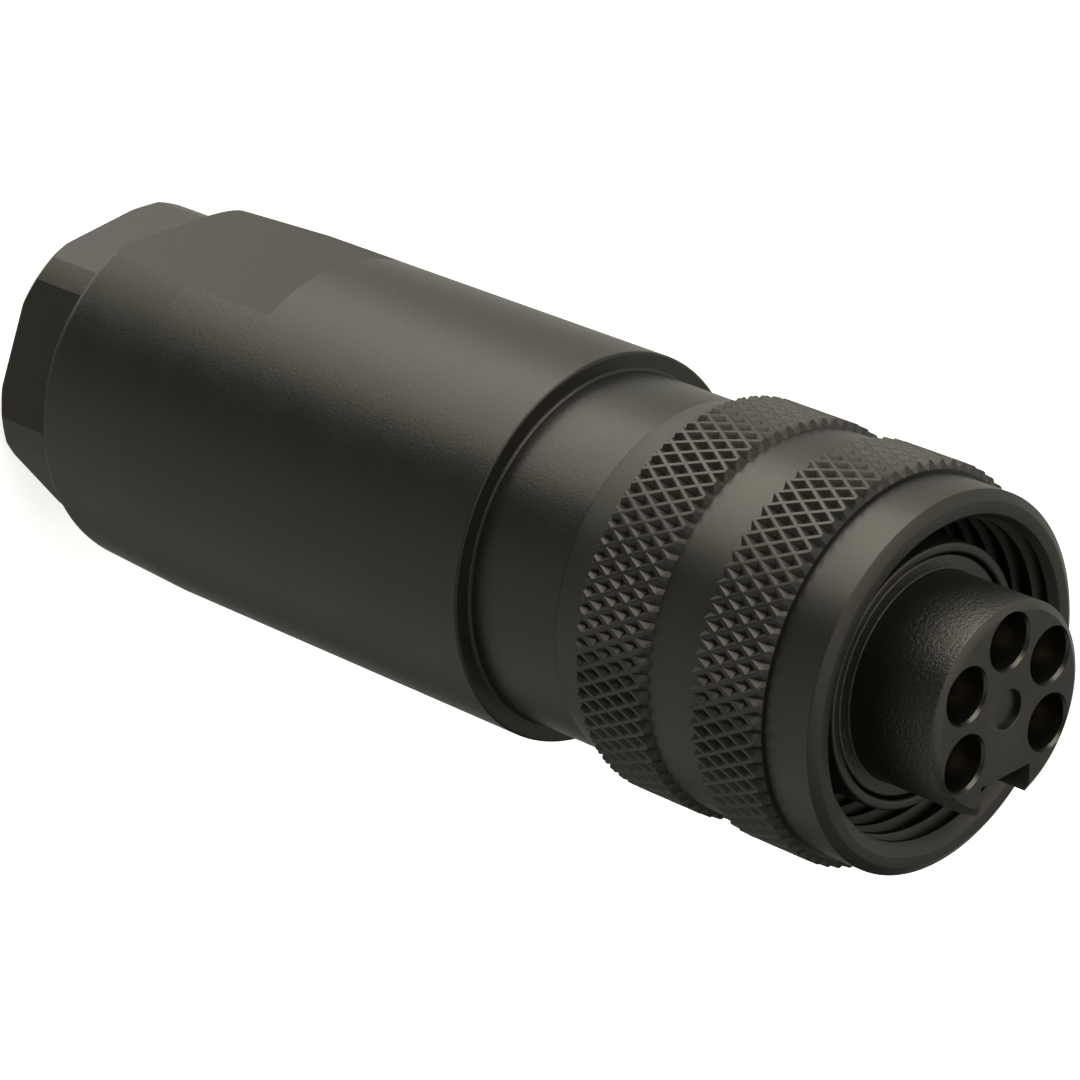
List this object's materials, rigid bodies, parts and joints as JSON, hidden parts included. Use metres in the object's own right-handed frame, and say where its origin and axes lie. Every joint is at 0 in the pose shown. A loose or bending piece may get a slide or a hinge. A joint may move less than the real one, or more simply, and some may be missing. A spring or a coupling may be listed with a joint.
{
  "type": "circular cable connector",
  "caption": "Straight round cable connector: socket plug in a knurled screw coupling ring, smooth moulded housing with wrench flats, and a hexagon cable clamp nut at the rear.",
  "frame": {"origin": "on the connector's axis, in the plane of the clamp nut's rear face on which it stands", "axes": "+Z along the axis towards the mating face, +X through the middle contact, the key groove on -X"},
  "size_m": [0.0264, 0.0264, 0.0809],
  "materials": {
    "housing_plastic": "fine moulded grain, dark olive grey",
    "ring_metal": "satin dark coating on turned and knurled metal",
    "sleeve_metal": "satin dark coating on turned metal",
    "insert_plastic": "spark-eroded moulded grain, black",
    "contact_metal": "plated, smooth",
    "rubber": "matt",
    "inner_plastic": "plain moulded",
    "washer_steel": "turned",
    "nut_plastic": "fine moulded grain, dark olive grey"
  },
  "bodies": {
    "housing": {"housing": "housing_plastic", "front_sleeve": "sleeve_metal", "contact_insert": "insert_plastic", "contact_carrier": "insert_plastic", "insert_o_ring": "rubber", "face_seal": "rubber", "contact_1": "contact_metal", "contact_2": "contact_metal", "contact_3": "contact_metal", "contact_4": "contact_metal", "contact_5": "contact_metal", "spacer_half_1": "inner_plastic", "spacer_half_2": "inner_plastic", "cable_seal": "rubber"},
    "coupling_ring": {"coupling_ring": "ring_metal"},
    "clamp_follower": {"thrust_washer": "washer_steel", "clamp_cage": "inner_plastic"},
    "clamp_nut": {"clamp_nut": "nut_plastic"}
  },
  "joints": [
    {"name": "coupling_ring_turn", "type": "hinge", "parent": "housing", "child": "coupling_ring", "pos_m": [0, 0, 0.057], "axis": [0, 0, 1], "continuous": true},
    {"name": "clamp_feed", "type": "slide", "parent": "housing", "child": "clamp_follower", "axis": [0, 0, 1], "range_m": [-0.0045, 0]},
    {"name": "clamp_nut_turn", "type": "hinge", "parent": "clamp_follower", "child": "clamp_nut", "pos_m": [0, 0, 0.007], "axis": [0, 0, 1], "range_deg": [-1080, 0]}
  ],
  "couplings": [
    {"joint": "clamp_nut_turn", "follows": "clamp_feed", "rad_per_m": 4188.8}
  ]
}
